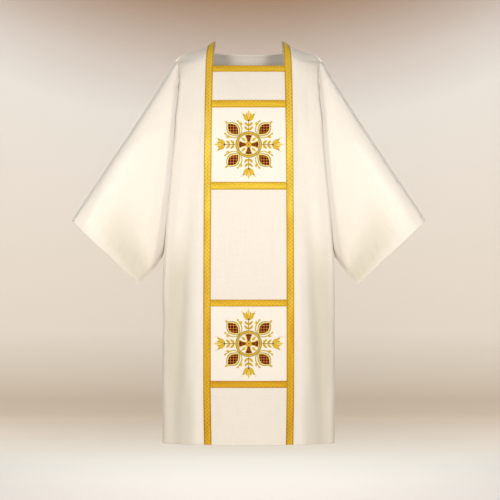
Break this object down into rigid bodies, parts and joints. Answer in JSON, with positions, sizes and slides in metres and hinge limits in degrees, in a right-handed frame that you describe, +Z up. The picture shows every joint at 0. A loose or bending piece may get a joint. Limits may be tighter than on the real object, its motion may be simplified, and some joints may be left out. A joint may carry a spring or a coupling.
{
  "type": "dalmatic",
  "caption": "Cream wool-blend dalmatic, worn form: straight front and back, wide sleeves, square neck, gold galloon verticals and cross bands, and two embroidered square panels",
  "frame": {"origin": "midway between the two high neck points, where the shoulders of the wearer hold the garment", "axes": "+Z up towards the wearer's head; -Y is the front of the garment; +X is the wearer's left, cuff to cuff along X"},
  "size_m": [1.1532, 0.3078, 1.3008],
  "materials": {
    "cream_cloth": "matt plain-woven wool and viscose cloth, cream, fine linen-like thread, soft drape",
    "gold_galloon": "woven metallic gold galloon braid, 22 mm wide, slightly glossy, with corded edges and a small slanting pattern",
    "white_cloth": "smooth ivory white cloth with raised satin-stitch embroidery in gold, pale green and dark red"
  },
  "bodies": {
    "root": {"front": "cream_cloth", "back": "cream_cloth", "sleeve_left": "cream_cloth", "sleeve_right": "cream_cloth", "galloon_left": "gold_galloon", "galloon_right": "gold_galloon", "neck_band_front": "gold_galloon", "neck_band_back": "gold_galloon", "band_2": "gold_galloon", "band_3": "gold_galloon", "band_4": "gold_galloon", "band_5": "gold_galloon", "panel_upper": "white_cloth", "panel_lower": "white_cloth"}
  },
  "joints": []
}
